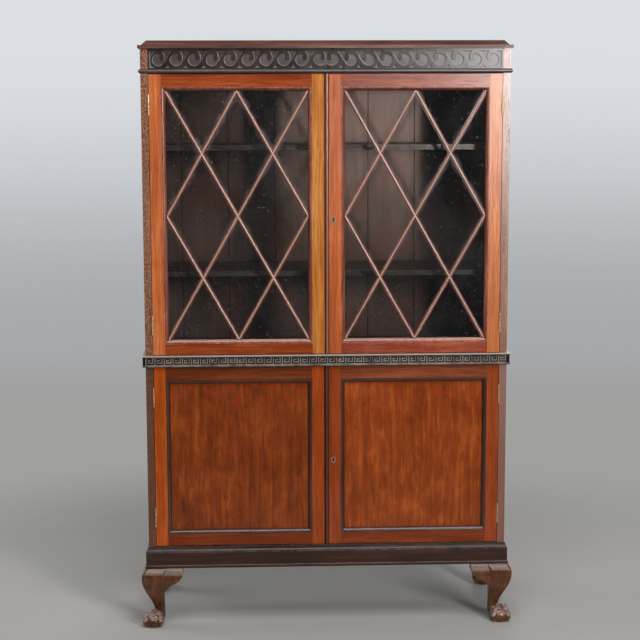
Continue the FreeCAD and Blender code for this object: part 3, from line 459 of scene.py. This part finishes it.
# Legs: each carved leg as one flowing surface over its solid
legLook = {**shades((46, 24, 10), (80, 44, 20), (114, 67, 34)), "toneStops": (0.2, 0.5, 0.8),
           "stretch": (1, 1, 0.08), "bandScale": 60.0, "washScale": 14.0,
           "band": 0.9, "wash": 0.6, "deeper": 0.25,
           "hollow": 0.85, "hollowTone": tone(13, 7, 4), "hollowCut": (0.004, 0.05),
           "wornAndLit": 0.75, "wornLitDustTone": tone(176, 160, 152), "wornCut": (0.51, 0.55), "wornPatch": (0.25, 0.5),
           "wornAbove": 0.2, "footTop": (0.045, 0.06),
           "dust": 0.5, "dustCut": (0.1, 0.8), "dustScale": 140.0, "dustPatch": (0.35, 0.6),
           "rough": 0.21, "washRough": 0.2, "shine": 0.5, "bump": 0.0002,
           "voxel": 0.0014, "softness": 0.5, "smoothing": 3, "topSnap": 1.6, "padSnap": 0.6}


def legWood():
    finish = Finish("legWood")
    place = finish.place()
    bands = place * legLook["stretch"]
    bands = finish.grain(bands, legLook["bandScale"], detail=4.0, rough=0.6, bend=0.4)
    wash = finish.grain(place, legLook["washScale"])
    figure = bands * legLook["band"] + wash * legLook["wash"] - legLook["deeper"]
    colour = finish.ramp(figure, legLook["toneStops"], legLook["dark"], legLook["mid"], legLook["light"])
    sharp = finish.node("NewGeometry", {}, {}, "Pointiness")
    # painted shade in the hollows of the carving
    sunk = finish.step(0.5 - sharp, *legLook["hollowCut"])
    colour = finish.blend(sunk * legLook["hollow"], colour, legLook["hollowTone"])
    foot = 1 - finish.step(finish.axis("Z"), *legLook["footTop"])
    share = legLook["wornAbove"] + (1 - legLook["wornAbove"]) * foot
    # pale rubbed claws and knuckles, partly a painted highlight on the foot
    rubbedAndLit = finish.step(sharp, *legLook["wornCut"]) * share * finish.step(wash, *legLook["wornPatch"])
    colour = finish.blend(rubbedAndLit * legLook["wornAndLit"], colour, legLook["wornLitDustTone"])
    patch = finish.step(finish.grain(place, legLook["dustScale"]), *legLook["dustPatch"])
    dusty = finish.step(finish.facing(), *legLook["dustCut"]) * foot * patch
    colour = finish.blend(dusty * legLook["dust"], colour, legLook["wornLitDustTone"])
    rough = legLook["rough"] + legLook["washRough"] * (wash - 0.5)
    return finish.done({"Base Color": colour, "Roughness": rough, "Specular IOR Level": legLook["shine"],
                        "Normal": finish.bump(bands, legLook["bump"])})


def carveLegs(name, node, finish):
    legs = bpy.data.objects.new(name, nodes[node].data.copy())
    bpy.context.scene.collection.objects.link(legs)
    low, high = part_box(node)
    remesh = legs.modifiers.new("remesh", "REMESH")
    remesh.mode = "VOXEL"
    remesh.voxel_size = legLook["voxel"]
    soften = legs.modifiers.new("soften", "SMOOTH")
    soften.factor = legLook["softness"]
    soften.iterations = legLook["smoothing"]
    evaluated = legs.evaluated_get(bpy.context.evaluated_depsgraph_get())
    carved = bpy.data.meshes.new_from_object(evaluated)
    legs.modifiers.clear()
    legs.data = carved
    for vertex in carved.vertices:  # the pads stay on the floor and the tops against the plinth
        if vertex.co.z > high.z - legLook["topSnap"] * legLook["voxel"]:
            vertex.co.z = high.z
        if vertex.co.z < low.z + legLook["padSnap"] * legLook["voxel"]:
            vertex.co.z = low.z
    for face in carved.polygons:
        face.use_smooth = True
    carved.materials.clear()
    carved.materials.append(finish)
    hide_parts(node)
    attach(legs, "carcase")
    return legs


legFinish = legWood()
frontLegs = carveLegs("frontLegsCarved", "front_legs", legFinish)
carveLegs("backLegsCarved", "back_legs", legFinish)
print("legs done")

# Metalwork
metalBase = {"patinaCut": (0.44, 0.7), "scratchScale": 900.0, "scratchStretch": (1, 1, 0.1),
             "dirtShare": 0.6, "dirtReach": 0.003, "dirtCut": (0.2, 0.8), "patinaRough": 0.25,
             "patinaMean": 0.4, "scratchRough": 0.1, "scratchBump": 0.4, "bump": 0.0001}
brassLook = {**metalBase, "bright": tone(232, 204, 156), "aged": tone(172, 134, 86), "dirt": tone(86, 60, 36),
             "patinaScale": 160.0, "rough": 0.42}
steelLook = {**metalBase, "bright": tone(150, 148, 144), "aged": tone(96, 92, 88), "dirt": tone(50, 44, 40),
             "patinaScale": 120.0, "rough": 0.4}
keyPlateLook = {**metalBase, "bright": tone(206, 190, 160), "aged": tone(150, 130, 104),
                "dirt": tone(56, 43, 34), "patinaScale": 300.0, "rough": 0.35}


def metal(name, look):
    finish = Finish(name)
    place = finish.place()
    patina = finish.grain(place, look["patinaScale"], detail=4.0, rough=0.6)
    scratch = finish.grain(place * look["scratchStretch"], look["scratchScale"], detail=2.0)
    colour = finish.blend(finish.step(patina, *look["patinaCut"]), look["bright"], look["aged"])
    dirt = finish.crevice(look["dirtReach"], *look["dirtCut"])
    colour = finish.blend(dirt * look["dirtShare"], colour, look["dirt"])
    rough = look["rough"] + look["patinaRough"] * (patina - look["patinaMean"])
    rough = rough + look["scratchRough"] * (scratch - 0.5)
    normal = finish.bump(scratch * look["scratchBump"] + patina, look["bump"])
    return finish.done({"Base Color": colour, "Metallic": 1.0, "Roughness": rough, "Normal": normal})


brassFinish = metal("agedBrass", brassLook)
brassEnds = ("hinge_leaves", "hinge_pins", "bolt_plates")
steelEnds = ("lock_case", "lock_bolt", "top_bolt", "bottom_bolt")
paint(brassFinish, *[name for name in nodes if name.endswith(brassEnds)])
paint(metal("dullSteel", steelLook), *[name for name in nodes if name.endswith(steelEnds)])
paint(metal("darkBrass", keyPlateLook), "upper_right_escutcheon", "lower_right_escutcheon")
print("metalwork done")

# Slotted screws of the hinges, the bolt plates and the lock cases
screwLook = {"hingeRadius": 0.0027, "plateRadius": 0.0016, "lockRadius": 0.00208, "proud": 0.0003,
             "sink": 0.0002, "slot": 0.16, "crown": 0.78, "steps": 12, "leaf": 0.060,
             "rows": ((0.010, 0.011), (0.030, 0.0065), (0.050, 0.011)),  # up the leaf, back from the front
             "edgeX": 0.5215, "gap": 0.0015, "face": -0.195, "plateThickness": 0.0015,
             "plateRows": (0.014, 0.035), "plateSide": 0.0066, "plateEnd": 0.0595, "lockInset": 0.005,
             "hingeTurn": 0.7, "plateTurn": 1.1, "plateStart": 0.4, "lockTurn": 0.9}


def slottedHead(mesh, centre, facing, radius, turn):
    normal = Vector(facing)
    along = Matrix.Rotation(turn, 3, normal) @ normal.orthogonal().normalized()
    across = normal.cross(along)
    start = math.asin(screwLook["slot"])
    steps = screwLook["steps"]
    top = screwLook["proud"]
    levels = ((1.0, -screwLook["sink"]), (1.0, top / 2), (screwLook["crown"], top))
    for way in (1, -1):  # two half rounds with the slot between them
        rings = []
        for share, height in levels:
            ring = []
            for index in range(steps + 1):
                angle = start + (math.pi - 2 * start) * index / steps
                rise = max(math.sin(angle) * share, screwLook["slot"])
                offset = along * math.cos(angle) * share + across * rise * way
                ring.append(mesh.verts.new(Vector(centre) + offset * radius + normal * height))
            rings.append(ring)
        for lower, upper in zip(rings, rings[1:]):
            for index in range(steps + 1):
                after = (index + 1) % (steps + 1)
                mesh.faces.new((lower[index], lower[after], upper[after], upper[index]))
        mesh.faces.new(rings[0])
        mesh.faces.new(rings[-1])


def hingeScrews(mesh, node, x, facing):
    low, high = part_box(node)
    count = 0
    for bottom in (low.z, high.z - screwLook["leaf"]):
        for rise, back in screwLook["rows"]:
            count += 1
            place = (x, screwLook["face"] + back, bottom + rise)
            turn = screwLook["hingeTurn"] * count
            slottedHead(mesh, place, (facing, 0, 0), screwLook["hingeRadius"], turn)


def plateScrews(mesh, node):
    low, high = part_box(node)
    middle = (low.x + high.x) / 2
    back = low.y + screwLook["plateThickness"]
    for edge, way in ((high.z, -1), (low.z, 1)):
        spots = [(middle, edge + way * screwLook["plateEnd"])]
        for row in screwLook["plateRows"]:
            spots += [(middle + hand * screwLook["plateSide"], edge + way * row) for hand in (-1, 1)]
        for index, (x, z) in enumerate(spots):
            turn = screwLook["plateTurn"] * index + screwLook["plateStart"]
            slottedHead(mesh, (x, back, z), (0, 1, 0), screwLook["plateRadius"], turn)


def lockScrews(mesh, node):
    low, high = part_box(node)
    inset = screwLook["lockInset"]
    for index, x in enumerate((low.x + inset, high.x - inset)):
        for z in (low.z + inset, high.z - inset):
            turn = screwLook["lockTurn"] * index + z
            slottedHead(mesh, (x, high.y, z), (0, 1, 0), screwLook["lockRadius"], turn)


def screwPiece(name, body, mesh):
    bmesh.ops.recalc_face_normals(mesh, faces=mesh.faces)
    data = bpy.data.meshes.new(name)
    mesh.to_mesh(data)
    mesh.free()
    data.materials.append(brassFinish)
    piece = bpy.data.objects.new(name, data)
    bpy.context.scene.collection.objects.link(piece)
    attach(piece, body)


caseScrews = bmesh.new()
for level in ("upper", "lower"):
    for hand, sign in (("left", -1), ("right", 1)):
        door = level + "_" + hand
        leaves = door + "_hinge_leaves"
        doorScrews = bmesh.new()
        hingeScrews(doorScrews, leaves, sign * screwLook["edgeX"], sign)
        hingeScrews(caseScrews, leaves, sign * (screwLook["edgeX"] + screwLook["gap"]), -sign)
        if hand == "left":
            plateScrews(doorScrews, door + "_bolt_plates")
        else:
            lockScrews(doorScrews, door + "_lock_case")
        screwPiece(level + hand.capitalize() + "Screws", door + "_door", doorScrews)
screwPiece("caseScrews", "carcase", caseScrews)
print("screws done")

# Glass: clear panes with a little dust
glassLook = {"clear": tone(250, 252, 251), "bend": 1.5, "mirror": (1, 1, 1, 1), "mirrorRough": 0.02,
             "dust": tone(192, 190, 190), "dustRough": 0.8,
             "specks": 0.25, "speckScale": 170.0, "speckCut": (0.7, 0.75),
             "haze": 0.012, "hazeScale": 7.0, "hazeCut": (0.35, 0.75),
             "barDust": 0.13, "barReach": 0.05, "barSpacing": 0.5, "barRise": (0.1, 0.8),
             "patchScale": 16.0, "patchCut": (0.42, 0.62)}


def barDust(finish, lattice):  # 1 beside the bars, which slant both ways at every half of the pane
    low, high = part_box(lattice)
    across = (finish.axis("X") - low.x) / (high.x - low.x)
    rise = (finish.axis("Z") - low.z) / (high.z - low.z)
    gaps = [abs(finish.wrap(line, glassLook["barSpacing"] / 2)) for line in (across + rise, across - rise)]
    nearest = finish.node("Math", {"operation": "MINIMUM"}, {0: gaps[0], 1: gaps[1]})
    patchy = finish.grain(finish.place(), glassLook["patchScale"], detail=4.0)
    patchy = finish.step(patchy, *glassLook["patchCut"])
    beside = 1 - finish.step(nearest, 0.0, glassLook["barReach"])
    return beside * patchy * finish.step(rise, *glassLook["barRise"])


def paneGlass(name, lattice):
    finish = Finish(name)
    place = finish.place()
    glance = finish.node("Fresnel", {}, {"IOR": glassLook["bend"]})
    through = finish.node("BsdfTransparent", {}, {"Color": glassLook["clear"]})
    shine = finish.node("BsdfPrincipled", {}, {"Base Color": glassLook["mirror"], "Metallic": 1.0,
                                               "Roughness": glassLook["mirrorRough"]})
    clean = finish.node("MixShader", {}, {0: glance, 1: through, 2: shine})
    specks = finish.step(finish.grain(place, glassLook["speckScale"], detail=1.0), *glassLook["speckCut"])
    haze = finish.step(finish.grain(place, glassLook["hazeScale"], detail=4.0), *glassLook["hazeCut"])
    dirt = specks * glassLook["specks"] + haze * glassLook["haze"]
    dirt = dirt + barDust(finish, lattice) * glassLook["barDust"]
    dusty = finish.node("BsdfPrincipled", {}, {"Base Color": glassLook["dust"],
                                               "Roughness": glassLook["dustRough"]})
    return finish.wear(finish.node("MixShader", {}, {0: dirt, 1: clean, 2: dusty}))


panes = ("upper_left_glass", "upper_right_glass")
paint(paneGlass("leftPaneGlass", "upper_left_lattice"), panes[0])
paint(paneGlass("rightPaneGlass", "upper_right_lattice"), panes[1])
print("glass done")

# Studio: a round grey floor that fades into a pale backdrop, the main lamp on the right, weak fills elsewhere
studio = {"floorTone": tone(172, 171, 168), "floorFleck": tone(174, 173, 170), "fleckScale": 3.0,
          "fleckCut": (0.3, 0.7), "floorRough": 0.9, "radius": 2.5, "sides": 64, "fade": (1.2, 2.3),
          "nearTone": tone(160, 160, 159), "lowTone": tone(168, 169, 172), "highTone": tone(219, 223, 228),
          "nearRise": (-0.19, -0.144), "farRise": (-0.144, 0.041), "behindCut": (0.0, 0.3),
          "ambient": (0.94, 0.96, 1.0, 1), "strength": 0.08}


def makeFloor():
    mesh = bmesh.new()
    centre = mesh.verts.new((0, 0, 0))
    rim = []
    for index in range(studio["sides"]):
        turn = math.tau * index / studio["sides"]
        rim.append(mesh.verts.new((studio["radius"] * math.cos(turn), studio["radius"] * math.sin(turn), 0)))
    for first, second in zip(rim, rim[1:] + rim[:1]):
        mesh.faces.new((centre, first, second))
    data = bpy.data.meshes.new("floor")
    mesh.to_mesh(data)
    mesh.free()
    floor = bpy.data.objects.new("floor", data)
    bpy.context.scene.collection.objects.link(floor)
    finish = Finish("floorPaper")
    away = finish.node("VectorMath", {"operation": "LENGTH"}, {0: finish.place()}, "Value")
    fleck = finish.step(finish.grain(finish.place(), studio["fleckScale"], detail=2.0), *studio["fleckCut"])
    colour = finish.blend(fleck, studio["floorTone"], studio["floorFleck"])
    paper = finish.node("BsdfPrincipled", {}, {"Base Color": colour, "Roughness": studio["floorRough"]})
    clear = finish.node("BsdfTransparent", {}, {})
    fade = finish.step(away, *studio["fade"])
    data.materials.append(finish.wear(finish.node("MixShader", {}, {0: fade, 1: paper, 2: clear})))


def makeBackdrop():  # what the camera sees beyond the floor; polish and glass show only the part behind
    finish = Finish("studioWorld", "World")
    way = finish.node("TexCoord", {}, {}, "Generated")
    rise = finish.node("SeparateXYZ", {}, {0: way}, "Z")
    deep = finish.node("SeparateXYZ", {}, {0: way}, "Y")
    shade = finish.blend(finish.step(rise, *studio["farRise"]), studio["lowTone"], studio["highTone"])
    shade = finish.blend(finish.step(rise, *studio["nearRise"]), studio["nearTone"], shade)
    pale = finish.node("Background", {}, {"Color": shade, "Strength": 1.0})
    dim = finish.node("Background", {}, {"Color": studio["ambient"], "Strength": studio["strength"]})
    camera, glossy, through = [finish.node("LightPath", {}, {}, "Is " + ray + " Ray")
                               for ray in ("Camera", "Glossy", "Transmission")]
    mirrored = finish.larger(glossy, through) * finish.step(deep, *studio["behindCut"])
    seen = finish.larger(camera, mirrored)
    bpy.context.scene.world = finish.wear(finish.node("MixShader", {}, {0: seen, 1: dim, 2: pale}))


def hangLamp(name, light, look):
    light.energy = look["power"]
    lamp = bpy.data.objects.new(name, light)
    lamp.location = look["place"]
    aim = Vector(look["target"]) - Vector(look["place"])
    lamp.rotation_euler = aim.to_track_quat("-Z", "Y").to_euler()
    bpy.context.scene.collection.objects.link(lamp)
    return lamp


def softBox(name, look):
    light = bpy.data.lights.new(name, "AREA")
    light.shape = "RECTANGLE"
    light.size, light.size_y = look["size"]
    light.color = (1.0, (1 + look["warmth"]) / 2, look["warmth"])
    lamp = hangLamp(name, light, look)
    lamp.visible_camera = False
    if look.get("mirrored"):  # only its reflection shows
        lamp.visible_diffuse = False
    if look.get("matte"):  # only its light shows
        lamp.visible_glossy = False


def shineOn(lampName, group, pieces):  # keep a lamp to some of the pieces
    lit = bpy.data.collections.new(group)
    for piece in pieces:
        lit.objects.link(piece)
    bpy.data.objects[lampName].light_linking.receiver_collection = lit


lamps = {
    "keyRight": {"place": (2.42, -4.4, 2.1), "target": (0, 0, 1.1), "size": (0.9, 1.2), "power": 128,
                 "warmth": 0.96, "matte": True},
    "windowRight": {"place": (1.92, -4.9, 2.35), "target": (1.4, 0, 2.0), "size": (1.4, 2.15), "power": 360,
                    "warmth": 1.0, "mirrored": True},
    "fillLeft": {"place": (-2.8, -4.2, 2.4), "target": (0, 0, 0.9), "size": (2.4, 2.4), "power": 15,
                 "warmth": 1.02},
    "topSoft": {"place": (0.2, -2.4, 4.0), "target": (0, 0, 1.0), "size": (3.0, 2.0), "power": 105,
                "warmth": 1.0},
    "sideLeft": {"place": (-3.6, 0.9, 2.0), "target": (0, 0.1, 0.9), "size": (2.0, 2.0), "power": 40,
                 "warmth": 1.0},
    "kneeSheen": {"place": (0.3, -4.3, 2.9), "target": (0, -0.2, 0.15), "size": (4.0, 2.4), "power": 80,
                  "warmth": 1.0, "mirrored": True},
    "behind": {"place": (0.6, 3.4, 2.4), "target": (0, 0.2, 0.9), "size": (1.8, 1.8), "power": 45,
               "warmth": 1.0},
}
lamps["keySheen"] = {**lamps["keyRight"], "matte": False, "mirrored": True}
makeFloor()
makeBackdrop()
for lampName, lampLook in lamps.items():
    softBox(lampName, lampLook)

glareNames = ["side_right", "frieze_board", "frieze_bead", "cornice"]
glareNames += ["upper_left_" + name for name in ("moulding", "lattice")]
glareNames += ["upper_right_" + name for name in ("stiles", "rails", "moulding", "lattice", "meeting_bead")]
shineOn("windowRight", "glarePieces", [nodes[name] for name in glareNames])
shineOn("kneeSheen", "sheenPieces", [frontLegs])
polished = [piece for piece in bpy.context.scene.objects if piece.type == "MESH" and piece.name not in panes]
shineOn("keySheen", "polishedPieces", polished)

# A beam through the right-hand pane, on the boards inside only
beam = {"place": (2.45, -4.4, 1.58), "target": (0.5, -0.19, 1.7), "angle": 12.6, "power": 2400, "size": 0.25,
        "boards": ("back_boards", "shelf_upper", "shelf_lower", "carcase_top", "middle_board")}
beamLight = bpy.data.lights.new("beamRight", "SPOT")
beamLight.spot_size = math.radians(beam["angle"])
beamLight.spot_blend = 1.0
beamLight.shadow_soft_size = beam["size"]
hangLamp("beamRight", beamLight, beam)
shineOn("beamRight", "insideBoards", [nodes[name] for name in beam["boards"]])

bpy.context.scene.view_settings.view_transform = "Standard"

# Camera, as the photograph was taken
shot = {"place": (-0.2076, -4.7350, 1.5879), "turn": -2.358, "tilt": -8.018, "roll": 0.160, "upright": 90.0,
        "lens": 85.92, "sensor": 36.0}
cameraData = bpy.data.cameras.new("shotCamera")
cameraData.lens = shot["lens"]
cameraData.sensor_width = shot["sensor"]
camera = bpy.data.objects.new("shotCamera", cameraData)
stand = Matrix.Translation(shot["place"])
for angle, axis in (("turn", "Z"), ("tilt", "X"), ("roll", "Y"), ("upright", "X")):
    stand = stand @ Matrix.Rotation(math.radians(shot[angle]), 4, axis)
camera.matrix_world = stand
bpy.context.scene.collection.objects.link(camera)
bpy.context.scene.camera = camera
print("studio done")
